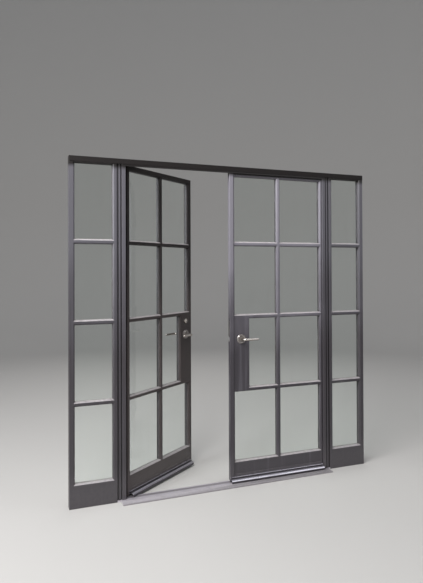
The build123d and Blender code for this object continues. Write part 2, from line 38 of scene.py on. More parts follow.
def effect_group(name, inputs, outputs):
    """An empty shader group with its named sockets, its input node and its output node."""
    tree = bpy.data.node_groups.new(name, "ShaderNodeTree")
    for kind, label, value in inputs:
        socket = tree.interface.new_socket(name=label, in_out="INPUT", socket_type="NodeSocket" + kind)
        socket.default_value = value
    for kind, label in outputs:
        tree.interface.new_socket(name=label, in_out="OUTPUT", socket_type="NodeSocket" + kind)
    return tree, tree.nodes.new("NodeGroupInput"), tree.nodes.new("NodeGroupOutput")


def stretched_noise(tree, scale, stretch=(1, 1, 1), detail=3.0, roughness=0.5):
    """Noise in the piece's own coordinates, drawn out along an axis. Returns its value socket."""
    place = tree.nodes.new("ShaderNodeTexCoord")
    mapping = tree.nodes.new("ShaderNodeMapping")
    mapping.inputs["Scale"].default_value = stretch
    noise = tree.nodes.new("ShaderNodeTexNoise")
    noise.inputs["Scale"].default_value = scale
    noise.inputs["Detail"].default_value = detail
    noise.inputs["Roughness"].default_value = roughness
    tree.links.new(place.outputs["Object"], mapping.inputs["Vector"])
    tree.links.new(mapping.outputs["Vector"], noise.inputs["Vector"])
    return noise.outputs["Fac"]


def ranged(tree, value, low, high, to_low=0.0, to_high=1.0):
    """The value between low and high, spread smoothly over a new range."""
    spread = tree.nodes.new("ShaderNodeMapRange")
    spread.interpolation_type = "SMOOTHSTEP"
    spread.inputs["From Min"].default_value = low
    spread.inputs["From Max"].default_value = high
    spread.inputs["To Min"].default_value = to_low
    spread.inputs["To Max"].default_value = to_high
    tree.links.new(value, spread.inputs["Value"])
    return spread.outputs["Result"]


def joined(tree, operation, first, second):
    """Two values joined by a calculation. The second may be a plain number."""
    step = tree.nodes.new("ShaderNodeMath")
    step.operation = operation
    tree.links.new(first, step.inputs[0])
    if isinstance(second, (int, float)):
        step.inputs[1].default_value = second
    else:
        tree.links.new(second, step.inputs[1])
    return step.outputs["Value"]


def blended(tree, share, first, second):
    """First colour going over to the second by a share."""
    mix = tree.nodes.new("ShaderNodeMix")
    mix.data_type = "RGBA"
    tree.links.new(share, mix.inputs["Factor"])
    for value, socket in ((first, mix.inputs[6]), (second, mix.inputs[7])):
        if isinstance(value, tuple):
            socket.default_value = value
        else:
            tree.links.new(value, socket)
    return mix.outputs[2]


def bent_share(tree, radius, low, high):
    """How sharply the surface turns within a radius: 1 on corners, 0 on flats."""
    surface = tree.nodes.new("ShaderNodeNewGeometry")
    corner = tree.nodes.new("ShaderNodeBevel")
    corner.samples = 4
    corner.inputs["Radius"].default_value = radius
    turned = tree.nodes.new("ShaderNodeVectorMath")
    turned.operation = "DOT_PRODUCT"
    tree.links.new(surface.outputs["Normal"], turned.inputs[0])
    tree.links.new(corner.outputs["Normal"], turned.inputs[1])
    return ranged(tree, turned.outputs["Value"], high, low)


def facing_up(tree):
    """The upright part of the surface normal: 1 on top faces, -1 underneath."""
    surface = tree.nodes.new("ShaderNodeNewGeometry")
    facing = tree.nodes.new("ShaderNodeSeparateXYZ")
    tree.links.new(surface.outputs["Normal"], facing.inputs["Vector"])
    return facing.outputs["Z"]


def height_up(tree):
    """Height above the floor."""
    place = tree.nodes.new("ShaderNodeTexCoord")
    spot = tree.nodes.new("ShaderNodeSeparateXYZ")
    tree.links.new(place.outputs["Object"], spot.inputs["Vector"])
    return spot.outputs["Z"]


def link_roughness(tree, given, made, value):
    """Roughness between the group's own low and high, by a value."""
    rough = tree.nodes.new("ShaderNodeMapRange")
    tree.links.new(value, rough.inputs["Value"])
    tree.links.new(given.outputs["Roughness Low"], rough.inputs["To Min"])
    tree.links.new(given.outputs["Roughness High"], rough.inputs["To Max"])
    tree.links.new(rough.outputs["Result"], made.inputs["Roughness"])


surface_outputs = (("Color", "Color"), ("Float", "Roughness"), ("Float", "Height"))


def worn_metal_group():
    """Bare metal: drawn lines, dull patches, long streaks, painted highlights on edges and painted shade
    underneath.
    """
    tree, given, made = effect_group("worn_bare_metal", (
        ("Color", "Metal", (0.6, 0.6, 0.6, 1)),
        ("Color", "Grime And Shade", (0.1, 0.09, 0.08, 1)),
        ("Color", "Edge Highlight", (0.85, 0.83, 0.82, 1)),
        ("Float", "Grime Share", 0.4),
        ("Float", "Streak Share", 0.0),
        ("Float", "Under Shade Share", 0.0),
        ("Float", "Edge Highlight Share", 0.0),
        ("Float", "Roughness Low", 0.3),
        ("Float", "Roughness High", 0.5),
    ), surface_outputs)
    patches = stretched_noise(tree, 14.0, detail=5.0)
    lines = stretched_noise(tree, 260.0, (0.03, 1, 1), detail=2.0)
    fine = stretched_noise(tree, 900.0, detail=1.0)
    streaks = stretched_noise(tree, 50.0, (0.01, 1, 1), detail=1.0)
    # Grime in dull patches and long streaks, and painted shade on faces turned down.
    grime_and_shade = joined(tree, "MULTIPLY", ranged(tree, patches, 0.42, 0.72), given.outputs["Grime Share"])
    for share, label in ((ranged(tree, streaks, 0.45, 0.6), "Streak Share"),
                         (ranged(tree, facing_up(tree), 0.0, -0.75), "Under Shade Share")):
        grime_and_shade = joined(tree, "MAXIMUM", grime_and_shade, joined(tree, "MULTIPLY", share, given.outputs[label]))
    dulled_and_shaded = blended(tree, grime_and_shade, given.outputs["Metal"], given.outputs["Grime And Shade"])
    # Painted highlight on sharp edges.
    edge_highlight = joined(tree, "MULTIPLY", bent_share(tree, 0.0025, 0.85, 0.99), given.outputs["Edge Highlight Share"])
    tree.links.new(blended(tree, edge_highlight, dulled_and_shaded, given.outputs["Edge Highlight"]), made.inputs["Color"])
    brushed = joined(tree, "MULTIPLY", lines, 0.4)
    link_roughness(tree, given, made, joined(tree, "ADD", joined(tree, "MULTIPLY", patches, 0.6), brushed))
    tree.links.new(joined(tree, "ADD", lines, joined(tree, "MULTIPLY", fine, 0.4)), made.inputs["Height"])
    return tree


worn_metal = worn_metal_group()


def start_material(name, effect, settings, bump_height, edge_radius, metallic=0.0):
    """A material whose colour, roughness and relief come from one effect group, and its shader."""
    material = bpy.data.materials.new(name)
    material.use_nodes = True
    tree = material.node_tree
    shader = tree.nodes["Principled BSDF"]
    shader.inputs["Metallic"].default_value = metallic
    group = tree.nodes.new("ShaderNodeGroup")
    group.node_tree = effect
    for label, value in settings.items():
        group.inputs[label].default_value = value
    relief = tree.nodes.new("ShaderNodeBump")
    relief.inputs["Strength"].default_value = 1.0
    relief.inputs["Distance"].default_value = bump_height
    soft_edge = tree.nodes.new("ShaderNodeBevel")
    soft_edge.samples = 4
    soft_edge.inputs["Radius"].default_value = edge_radius
    tree.links.new(group.outputs["Color"], shader.inputs["Base Color"])
    tree.links.new(group.outputs["Roughness"], shader.inputs["Roughness"])
    tree.links.new(group.outputs["Height"], relief.inputs["Height"])
    tree.links.new(soft_edge.outputs["Normal"], relief.inputs["Normal"])
    tree.links.new(relief.outputs["Normal"], shader.inputs["Normal"])
    return material, shader


def finish_nodes(material, *names):
    """Give CAD nodes their finish."""
    for name in names:
        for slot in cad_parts[name].material_slots:
            slot.material = material


# The threshold's edges carry a painted highlight.
threshold_metal = start_material("threshold_aluminium", worn_metal, {
    "Metal": (0.62, 0.59, 0.64, 1),
    "Grime And Shade": (0.20, 0.18, 0.20, 1),
    "Grime Share": 0.25,
    "Streak Share": 0.7,
    "Edge Highlight Share": 0.6,
    "Roughness Low": 0.35,
    "Roughness High": 0.6,
}, 0.00008, 0.0005, metallic=0.55)[0]
finish_nodes(threshold_metal, "threshold")


def finished_object(name, mesh_builder, material, body):
    """Turn a bmesh into a piece of the object with its material, riding its body."""
    mesh = bpy.data.meshes.new(name)
    mesh_builder.to_mesh(mesh)
    mesh_builder.free()
    mesh.materials.append(material)
    piece = bpy.data.objects.new(name, mesh)
    bpy.context.scene.collection.objects.link(piece)
    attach(piece, body)
    return piece


def screw_head(builder, centre, outward, radius, turn=0.0, proud=0.0006):
    """Countersunk screw head with a cross recess, set in a surface that faces outward."""
    outward = Vector(outward).normalized()
    across = outward.orthogonal().normalized()
    upward = outward.cross(across)
    arm = radius * 0.58
    slot_half = radius * 0.13
    steps = 32
    loops = []
    for ring in range(5):
        loop = []
        for step in range(steps):
            cross_angle = 2 * math.pi * step / steps
            angle = cross_angle + turn
            narrow = min(abs(math.sin(cross_angle)), abs(math.cos(cross_angle)))
            reach = min(arm, slot_half / max(1e-6, narrow))
            out, high = ((radius, 0.0), (radius * 0.9, proud), (reach, proud * 0.9),
                         (reach * 0.8, proud - radius * 0.35), (reach * 0.25, proud - radius * 0.45))[ring]
            around = across * math.cos(angle) + upward * math.sin(angle)
            loop.append(builder.verts.new(Vector(centre) + outward * high + around * out))
        loops.append(loop)
    for inner, outer in zip(loops[1:], loops):
        for step in range(steps):
            after = (step + 1) % steps
            builder.faces.new((outer[step], outer[after], inner[after], inner[step]))
    builder.faces.new(loops[-1])


threshold_screw_count = 6
threshold_screw_step = 0.264
threshold_screw_line = 0.02
threshold_screw_seat = 0.0099
threshold_screws = bmesh.new()
for number in range(threshold_screw_count):
    x = (number - (threshold_screw_count - 1) / 2) * threshold_screw_step
    place = (x, threshold_screw_line, threshold_screw_seat)
    screw_head(threshold_screws, place, (0, 0, 1), 0.0045, turn=number * 1.1)
screw_steel = start_material("screw_steel", worn_metal, {
    "Metal": (0.55, 0.53, 0.50, 1),
    "Grime And Shade": (0.12, 0.10, 0.09, 1),
    "Grime Share": 0.35,
    "Roughness Low": 0.22,
    "Roughness High": 0.45,
}, 0.00002, 0.0002, metallic=1.0)[0]
finished_object("threshold_screws", threshold_screws, screw_steel, "frame")

# Fixed frame, mullions and sidelight frames: welded steel sections, primed and painted in
# dark bronze. Rain leaves faint upright runs, and corners are rubbed a little lighter.


def weathered_paint_group():
    """Dark paint, lighter towards the top by random tone and by painted light, with painted shade under the
    head and in narrow grooves.

    It has faint runs, rubbed corners, dust and a painted sky sheen on what faces up, and dirt splashed about
    the foot.
    """
    tree, given, made = effect_group("weathered_paint", (
        ("Color", "Paint", (0.05, 0.05, 0.05, 1)),
        ("Color", "Top And Run Tone", (0.08, 0.08, 0.08, 1)),
        ("Color", "Dust And Sheen", (0.3, 0.28, 0.26, 1)),
        ("Float", "Dust And Sheen Share", 0.3),
        ("Float", "Run Share", 0.4),
        ("Float", "Rub Share", 0.5),
        ("Float", "Roughness Low", 0.3),
        ("Float", "Roughness High", 0.45),
        ("Float", "Shade Foot", 2.075),
        ("Float", "Shade Top", 2.10),
    ), surface_outputs)
    broad = stretched_noise(tree, 2.3, detail=4.0)
    runs = stretched_noise(tree, 30.0, (1, 1, 0.04), detail=3.0)
    patches = stretched_noise(tree, 55.0, detail=4.0, roughness=0.6)
    peel = stretched_noise(tree, 520.0, detail=1.5)
    height = height_up(tree)
    rubbed = bent_share(tree, 0.0016, 0.80, 0.97)
    rubbed = joined(tree, "MULTIPLY", rubbed, ranged(tree, patches, 0.45, 0.62))
    rubbed = joined(tree, "MULTIPLY", rubbed, given.outputs["Rub Share"])
    splash = ranged(tree, patches, 0.2, 0.7, 0.6, 1.0)
    splash = joined(tree, "MULTIPLY", ranged(tree, height, 0.26, 0.05), splash)
    # Dust and a painted sky sheen on faces turned up, with less of both under the head as painted shade, and
    # a little splashed dirt low down.
    dust_and_sheen = ranged(tree, patches, 0.25, 0.65, 0.6, 1.0)
    dust_and_sheen = joined(tree, "MULTIPLY", ranged(tree, facing_up(tree), 0.3, 0.72), dust_and_sheen)
    dust_and_sheen = joined(tree, "MULTIPLY", dust_and_sheen, ranged(tree, height, 2.10, 2.12, 1.0, 0.35))
    dust_and_sheen = joined(tree, "MULTIPLY", dust_and_sheen, given.outputs["Dust And Sheen Share"])
    dust_and_sheen = joined(tree, "MAXIMUM", dust_and_sheen, joined(tree, "MULTIPLY", splash, 0.07))
    # The paint goes over to its top tone at random and with height. The rise with height is painted light
    # and shade: tops grow lighter where the top tone is lighter, and darker where it is darker.
    top_light = joined(tree, "MULTIPLY", height, 0.42)
    tone_and_top_light = joined(tree, "ADD", joined(tree, "MULTIPLY", broad, 0.5), top_light)
    toned_and_lit = blended(tree, ranged(tree, tone_and_top_light, 0.58, 0.98), given.outputs["Paint"], given.outputs["Top And Run Tone"])
    run_share = joined(tree, "MULTIPLY", ranged(tree, runs, 0.52, 0.78), given.outputs["Run Share"])
    streaked = blended(tree, run_share, toned_and_lit, given.outputs["Top And Run Tone"])
    # Painted shade: near black under the head, and in narrow grooves and creases found by occlusion.
    cover = tree.nodes.new("ShaderNodeMapRange")
    tree.links.new(height, cover.inputs["Value"])
    tree.links.new(given.outputs["Shade Foot"], cover.inputs["From Min"])
    tree.links.new(given.outputs["Shade Top"], cover.inputs["From Max"])
    occlusion = tree.nodes.new("ShaderNodeAmbientOcclusion")
    occlusion.samples = 6
    occlusion.inputs["Distance"].default_value = 0.014
    crevice_shade = ranged(tree, occlusion.outputs["AO"], 0.75, 0.35, 0.0, 0.85)
    shade_share = joined(tree, "MAXIMUM", cover.outputs["Result"], crevice_shade)
    shaded_paint = blended(tree, shade_share, streaked, (0.012, 0.010, 0.010, 1))
    worn = blended(tree, rubbed, shaded_paint, (0.14, 0.125, 0.12, 1))
    tree.links.new(blended(tree, dust_and_sheen, worn, given.outputs["Dust And Sheen"]), made.inputs["Color"])
    link_roughness(tree, given, made, joined(tree, "MAXIMUM", patches, dust_and_sheen))
    tree.links.new(joined(tree, "ADD", peel, joined(tree, "MULTIPLY", patches, 0.8)), made.inputs["Height"])
    return tree


weathered_paint = weathered_paint_group()
# The frames' top tone is lighter than their paint, so they grow lighter towards the top: painted light.
frame_paint = start_material("frame_paint", weathered_paint, {
    "Paint": (0.049, 0.044, 0.051, 1),
    "Top And Run Tone": (0.106, 0.103, 0.120, 1),
    "Dust And Sheen": (0.46, 0.435, 0.45, 1),
    "Dust And Sheen Share": 0.75,
    "Run Share": 0.3,
    "Rub Share": 0.4,
    "Roughness Low": 0.26,
    "Roughness High": 0.5,
}, 0.00010, 0.0010)[0]
finish_nodes(frame_paint, "door_frame", "left_mullion", "right_mullion",
             "left_sidelight_frame", "right_sidelight_frame")

# Head trim: one thin flat metal strip fixed over the heads of the three frames. Its near-black
# colour and low gloss are painted shade from the head above it.
trim_paint, trim_shader = start_material("trim_paint", weathered_paint, {
    "Paint": (0.008, 0.007, 0.006, 1),
    "Top And Run Tone": (0.014, 0.011, 0.010, 1),
    "Dust And Sheen": (0.16, 0.15, 0.14, 1),
    "Dust And Sheen Share": 0.25,
    "Run Share": 0.4,
    "Rub Share": 0.2,
    "Roughness Low": 0.5,
    "Roughness High": 0.75,
}, 0.00010, 0.0008)
trim_shader.inputs["Specular IOR Level"].default_value = 0.2
finish_nodes(trim_paint, "head_trim")

# Cover screws: small painted steel screws in a row up the inner cover of each mullion. They
# hold the cover over the joint between door frame and sidelight.
cover_screw_line = 0.789
cover_face = 0.0559
first_cover_screw = 0.14
cover_screw_step = 0.31
cover_screw_count = 7
cover_screws = bmesh.new()
for side in (-1, 1):
    for number in range(cover_screw_count):
        height = first_cover_screw + number * cover_screw_step
        place = (side * cover_screw_line, cover_face, height)
        screw_head(cover_screws, place, (0, 1, 0), 0.004, turn=number * 0.7)
painted_screw = start_material("painted_screw", weathered_paint, {
    "Paint": (0.032, 0.029, 0.032, 1),
    "Top And Run Tone": (0.06, 0.055, 0.06, 1),
    "Dust And Sheen": (0.20, 0.185, 0.18, 1),
    "Dust And Sheen Share": 0.3,
    "Run Share": 0.2,
    "Rub Share": 0.9,
    "Roughness Low": 0.3,
    "Roughness High": 0.5,
}, 0.00002, 0.0003)[0]
finished_object("cover_screws", cover_screws, painted_screw, "frame")

# Frame seal: a strip of black rubber with a grey bloom, held behind the lip of the door frame
# on both jambs and under the head, where the leaves shut against it.


def rubber_group():
    """Black rubber, matt, with a grey bloom."""
    tree, given, made = effect_group("black_rubber", (
        ("Color", "Rubber", (0.012, 0.012, 0.012, 1)),
        ("Color", "Bloom", (0.06, 0.058, 0.055, 1)),
    ), surface_outputs)
    cloud = stretched_noise(tree, 40.0, detail=4.0)
    grain = stretched_noise(tree, 700.0, detail=1.0)
    bloomed = blended(tree, ranged(tree, cloud, 0.4, 0.75), given.outputs["Rubber"], given.outputs["Bloom"])
    tree.links.new(bloomed, made.inputs["Color"])
    tree.links.new(ranged(tree, cloud, 0.3, 0.7, 0.55, 0.8), made.inputs["Roughness"])
    tree.links.new(grain, made.inputs["Height"])
    return tree


black_rubber = start_material("black_sealant", rubber_group(), {}, 0.00006, 0.0003)[0]
finish_nodes(black_rubber, "frame_seal")

# Glazing: clear float glass 6 mm thick, very slightly wavy, with a breath of dust. Each pane
# lies in a rebate, sealed on both faces with a thin hollow fillet painted over.


def pane_haze_group():
    """Clean glass with a breath of dust and a slow ripple."""
    tree, given, made = effect_group("pane_haze", (
        ("Color", "Clear", (0.93, 0.97, 0.95, 1)),
        ("Color", "Haze", (0.8, 0.82, 0.8, 1)),
        ("Float", "Haze Share", 0.3),
    ), surface_outputs)
    wave = stretched_noise(tree, 2.6, detail=1.0)
    smear = stretched_noise(tree, 7.0, (1, 1, 0.3), detail=5.0, roughness=0.65)
    share = joined(tree, "MULTIPLY", ranged(tree, smear, 0.5, 0.85), given.outputs["Haze Share"])
    tree.links.new(blended(tree, share, given.outputs["Clear"], given.outputs["Haze"]), made.inputs["Color"])
    tree.links.new(ranged(tree, smear, 0.55, 0.9, 0.0, 0.05), made.inputs["Roughness"])
    tree.links.new(wave, made.inputs["Height"])
    return tree


pane_glass, pane_shader = start_material("pane_glass", pane_haze_group(), {}, 0.0006, 0.0002)
pane_shader.inputs["Transmission Weight"].default_value = 1.0
pane_shader.inputs["IOR"].default_value = 1.5
pane_tree = pane_glass.node_tree
lit_through = pane_tree.nodes.new("ShaderNodeMixShader")
open_air = pane_tree.nodes.new("ShaderNodeBsdfTransparent")
open_air.inputs["Color"].default_value = (0.94, 0.97, 0.96, 1)
ray_kind = pane_tree.nodes.new("ShaderNodeLightPath")
pane_tree.links.new(ray_kind.outputs["Is Shadow Ray"], lit_through.inputs["Fac"])
pane_tree.links.new(pane_shader.outputs["BSDF"], lit_through.inputs[1])
pane_tree.links.new(open_air.outputs["BSDF"], lit_through.inputs[2])
pane_tree.links.new(lit_through.outputs["Shader"], pane_tree.nodes["Material Output"].inputs["Surface"])
for side in ("left", "right"):
    finish_nodes(pane_glass, *[f"{side}_sidelight_pane_{number}" for number in range(1, 5)])
    finish_nodes(pane_glass, *[f"{side}_leaf_pane_{number}" for number in range(1, 9)])

kick_top = 0.147
row_rise = 0.469
bar_face = 0.028
row_feet = [kick_top + row * (row_rise + bar_face) for row in range(4)]
leaf_top_row_rise = 0.445
sidelight_span = (0.804, 1.039)
leaf_spans = ((0.032, 0.3545), (0.3825, 0.705))
lock_span = (0.142, 0.3545)
lock_row = 1
sidelight_glass_faces = (0.018, 0.024)
leaf_glass_faces = (0.030, 0.036)
left_hinge_line = Vector((-0.752, 0.0632, 0.0))
left_leaf_angle = math.radians(37.0)
left_leaf_open = (Matrix.Translation(left_hinge_line) @ Matrix.Rotation(left_leaf_angle, 4, "Z")
                  @ Matrix.Translation(-left_hinge_line))


def leaf_openings(side):
    """The leaf's glass openings while it is shut, as two sides and two heights."""
    found = []
    for row, foot in enumerate(row_feet):
        rise = leaf_top_row_rise if row == len(row_feet) - 1 else row_rise
        for column, span in enumerate(leaf_spans):
            near, far = lock_span if (row == lock_row and column == 0) else span
            found.append((*sorted((side * near, side * far)), foot, foot + rise))
    return found


def sidelight_openings(side):
    """The sidelight's glass openings."""
    near, far = sidelight_span
    return [(*sorted((side * near, side * far)), foot, foot + row_rise) for foot in row_feet]


def seal_fillet(builder, opening, glass, out, width):
    """Sealant round one opening on the glass at depth glass, out towards one side."""
    x0, x1, z0, z1 = opening
    hollow = 0.25
    steps = 4
    loops = []
    for step in range(steps + 1):
        angle = math.pi / 2 * step / steps
        inset = width * (1 - hollow * math.sin(angle) ** 1.2) * math.cos(angle) if step < steps else 0.0
        depth = glass + out * width * math.sin(angle) ** 1.1
        corners = ((x0 + inset, z0 + inset), (x1 - inset, z0 + inset),
                   (x1 - inset, z1 - inset), (x0 + inset, z1 - inset))
        loops.append([builder.verts.new((x, depth, z)) for x, z in corners])
    for inner, outer in zip(loops, loops[1:]):
        for corner in range(4):
            after = (corner + 1) % 4
            builder.faces.new((inner[corner], inner[after], outer[after], outer[corner]))


# Its faces turned up take dust and a painted sky sheen.
painted_putty = start_material("painted_putty", weathered_paint, {
    "Paint": (0.15, 0.14, 0.145, 1),
    "Top And Run Tone": (0.17, 0.16, 0.17, 1),
    "Dust And Sheen": (0.5, 0.47, 0.46, 1),
    "Dust And Sheen Share": 0.8,
    "Run Share": 0.2,
    "Rub Share": 0.1,
    "Roughness Low": 0.4,
    "Roughness High": 0.6,
}, 0.00006, 0.0003)[0]
outside_fillet = 0.0022
inside_fillet = 0.0020
glazed_bodies = {
    "frame": (sidelight_openings(-1) + sidelight_openings(1), sidelight_glass_faces),
    "left_leaf": (leaf_openings(-1), leaf_glass_faces),
    "right_leaf": (leaf_openings(1), leaf_glass_faces),
}
for body, (openings, (front, back)) in glazed_bodies.items():
    fillets = bmesh.new()
    for opening in openings:
        seal_fillet(fillets, opening, front, -1, outside_fillet)
        seal_fillet(fillets, opening, back, 1, inside_fillet)
    bmesh.ops.recalc_face_normals(fillets, faces=fillets.faces)
    if body == "left_leaf":
        bmesh.ops.transform(fillets, matrix=left_leaf_open, verts=fillets.verts)
    finished_object(f"{body}_glazing_sealant", fillets, painted_putty, body)

# Glazing beads: painted steel strips mitred round each pane on the room side, held by small
# countersunk screws, two in each strip.
# Its faces turned up take dust and a painted sky sheen.
bead_paint = start_material("bead_paint", weathered_paint, {
    "Paint": (0.040, 0.036, 0.041, 1),
    "Top And Run Tone": (0.085, 0.079, 0.090, 1),
    "Dust And Sheen": (0.46, 0.43, 0.42, 1),
    "Dust And Sheen Share": 0.6,
    "Run Share": 0.2,
    "Rub Share": 0.5,
    "Roughness Low": 0.28,
    "Roughness High": 0.48,
}, 0.00008, 0.0006)[0]
finish_nodes(bead_paint, "sidelight_beads", "left_leaf_beads", "right_leaf_beads")
bead_faces = {"frame": 0.046, "left_leaf": 0.052, "right_leaf": 0.052}
bead_screw_line = 0.0075
bead_screw_shares = (0.2, 0.8)
for body, (openings, _) in glazed_bodies.items():
    bead_screws = bmesh.new()
    for count, (x0, x1, z0, z1) in enumerate(openings):
        for share in bead_screw_shares:
            along_x = x0 + (x1 - x0) * share
            along_z = z0 + (z1 - z0) * share
            for x, z in ((along_x, z0 - bead_screw_line), (along_x, z1 + bead_screw_line),
                         (x0 - bead_screw_line, along_z), (x1 + bead_screw_line, along_z)):
                place = (x, bead_faces[body], z)
                screw_head(bead_screws, place, (0, 1, 0), 0.0024, turn=count + share, proud=0.0003)
    if body == "left_leaf":
        bmesh.ops.transform(bead_screws, matrix=left_leaf_open, verts=bead_screws.verts)
    finished_object(f"{body}_bead_screws", bead_screws, painted_screw, body)

# Leaves: welded steel stiles, rails and glazing bars ground flush and painted as the frame. The
# kick panels are flat sheets let in between the stiles. The two leaves carry lit and shaded copies of
# one paint: the right leaf grows lighter towards its top, painted light; the left leaf, mostly open,
# grows darker towards its top, painted shade of the head, is warmer and lighter low down, a painted
# reflection of the floor, and has less gloss.
leaf_tones_and_light = {
    "left": {"Paint": (0.065, 0.054, 0.054, 1), "Top And Run Tone": (0.020, 0.017, 0.018, 1), "Shade Foot": 1.5},
    "right": {"Paint": (0.050, 0.045, 0.054, 1), "Top And Run Tone": (0.215, 0.206, 0.240, 1), "Shade Foot": 2.075},
}
leaf_gloss = {"left": 0.28, "right": 0.5}
for side, tone_and_light in leaf_tones_and_light.items():
    leaf_paint, leaf_shader = start_material(f"{side}_leaf_paint", weathered_paint, {
        **tone_and_light,
        "Dust And Sheen": (0.50, 0.47, 0.48, 1),
        "Dust And Sheen Share": 0.75,
        "Run Share": 0.3,
        "Rub Share": 0.45,
        "Roughness Low": 0.24,
        "Roughness High": 0.46,
    }, 0.00010, 0.0010)
    leaf_shader.inputs["Specular IOR Level"].default_value = leaf_gloss[side]
    finish_nodes(leaf_paint, f"{side}_leaf_frame")
    kick_paint = start_material(f"{side}_kick_paint", weathered_paint, {
        **tone_and_light,
        "Dust And Sheen": (0.24, 0.22, 0.22, 1),
        "Dust And Sheen Share": 0.3,
        "Run Share": 0.2,
        "Rub Share": 0.5,
        "Roughness Low": 0.24,
        "Roughness High": 0.42,
    }, 0.00005, 0.0008)[0]
    finish_nodes(kick_paint, f"{side}_kick_panel")

# Weather bars: drawn aluminium sections screwed to the foot of each leaf from behind, with a thin
# bronze lacquer that lets the metal shine. The hood's lower lip is darkened as painted shade, and the
# valley on top as a painted dark reflection of the kick panel.


def lacquered_metal_group():
    """Lacquered metal: drawn lines, cloudy wear, painted shade low down and a painted dark reflection in the
    valley on top.
    """
    tree, given, made = effect_group("lacquered_metal", (
        ("Color", "Metal", (0.5, 0.5, 0.5, 1)),
        ("Color", "Dirt And Shade", (0.05, 0.05, 0.05, 1)),
        ("Float", "Lower Shade Top", 0.024),
        ("Float", "Dirt And Shade Share", 0.8),
    ), surface_outputs)
    lines = stretched_noise(tree, 300.0, (0.005, 1, 1), detail=1.0)
    clouds = stretched_noise(tree, 5.0, detail=3.0)
    ragged = joined(tree, "ADD", height_up(tree), joined(tree, "MULTIPLY", clouds, 0.002))
    # Painted shade on the hood's lower lip and a painted dark reflection in the valley on top.
    lower_shade = ranged(tree, joined(tree, "SUBTRACT", ragged, given.outputs["Lower Shade Top"]), 0.002, -0.002)
    over_valley_foot = ranged(tree, ragged, 0.0345, 0.0365)
    under_valley_top = ranged(tree, ragged, 0.0405, 0.0395)
    valley_reflection = joined(tree, "MULTIPLY", over_valley_foot, under_valley_top)
    dirt_and_shade = joined(tree, "MULTIPLY", joined(tree, "MAXIMUM", lower_shade, valley_reflection), given.outputs["Dirt And Shade Share"])
    dirt_and_shade = joined(tree, "MAXIMUM", dirt_and_shade, ranged(tree, clouds, 0.5, 0.8, 0.0, 0.15))
    tree.links.new(blended(tree, dirt_and_shade, given.outputs["Metal"], given.outputs["Dirt And Shade"]), made.inputs["Color"])
    polish = ranged(tree, clouds, 0.3, 0.8, 0.20, 0.34)
    polish = joined(tree, "ADD", polish, joined(tree, "MULTIPLY", dirt_and_shade, 0.15))
    tree.links.new(polish, made.inputs["Roughness"])
    tree.links.new(lines, made.inputs["Height"])
    return tree


weather_metal = start_material("weather_metal", lacquered_metal_group(), {
    "Metal": (0.56, 0.54, 0.60, 1),
    "Dirt And Shade": (0.045, 0.04, 0.045, 1),
    "Lower Shade Top": 0.0255,
    "Dirt And Shade Share": 0.85,
}, 0.00001, 0.0005, metallic=0.9)[0]
finish_nodes(weather_metal, "left_weather_bar", "right_weather_bar")

# Foot brushes: a black bristle strip under each leaf that sweeps the threshold. The right one
# leaves room for the lower shoot bolt.
strand_count = 220
strand_half = 0.0010
strand_lean = 0.0011
brush_start = 0.008
brush_run = 0.718
brush_line = 0.040
shoot_bolt_room = 0.024
brush_ends = ((0.0145, 0.0022, 0.0), (0.0108, 0.0016, strand_lean))
corner_signs = ((-1, -1), (1, -1), (1, 1), (-1, 1))
for side, body in ((-1, "left_leaf"), (1, "right_leaf")):
    brush = bmesh.new()
    for strand in range(strand_count):
        x = side * (brush_start + brush_run * strand / (strand_count - 1))
        if side > 0 and x < shoot_bolt_room:
            continue
        sway = math.sin(strand * 2.4)
        top, low = [[brush.verts.new((x + across * strand_half + lean * sway,
                                      brush_line + along * depth_half + lean * sway, height))
                     for across, along in corner_signs] for height, depth_half, lean in brush_ends]
        for corner in range(4):
            after = (corner + 1) % 4
            brush.faces.new((top[corner], top[after], low[after], low[corner]))
        brush.faces.new(low)
    bmesh.ops.recalc_face_normals(brush, faces=brush.faces)
    if side < 0:
        bmesh.ops.transform(brush, matrix=left_leaf_open, verts=brush.verts)
    finished_object(f"{body}_foot_brush", brush, black_rubber, body)

# Hinges: steel butts with ball-tipped pins, painted with the frame and rubbed at the knuckles.
# Each plate has three countersunk screws.
hinge_paint = start_material("hinge_paint", weathered_paint, {
    "Paint": (0.032, 0.029, 0.032, 1),
    "Top And Run Tone": (0.055, 0.050, 0.053, 1),
    "Dust And Sheen": (0.20, 0.185, 0.18, 1),
    "Dust And Sheen Share": 0.25,
    "Run Share": 0.2,
    "Rub Share": 1.0,
    "Roughness Low": 0.22,
    "Roughness High": 0.4,
}, 0.00005, 0.0005)[0]
finish_nodes(hinge_paint, "frame_hinge_halves", "hinge_pins", "left_hinge_leaves", "right_hinge_leaves")
hinge_heights = (0.238, 1.065, 1.892)
plate_lines = {"frame": (-0.773, 0.773), "left_leaf": (-0.727,), "right_leaf": (0.727,)}
plate_face = 0.0590
plate_screw_step = 0.038
plate_screw_stagger = 0.005
for body, lines in plate_lines.items():
    plate_screws = bmesh.new()
    for line in lines:
        for middle in hinge_heights:
            for number in range(3):
                x = line + plate_screw_stagger * (-1) ** number
                height = middle + (number - 1) * plate_screw_step
                screw_head(plate_screws, (x, plate_face, height), (0, 1, 0), 0.0038, turn=number + middle)
    if body == "left_leaf":
        bmesh.ops.transform(plate_screws, matrix=left_leaf_open, verts=plate_screws.verts)
    finished_object(f"{body}_hinge_screws", plate_screws, painted_screw, body)

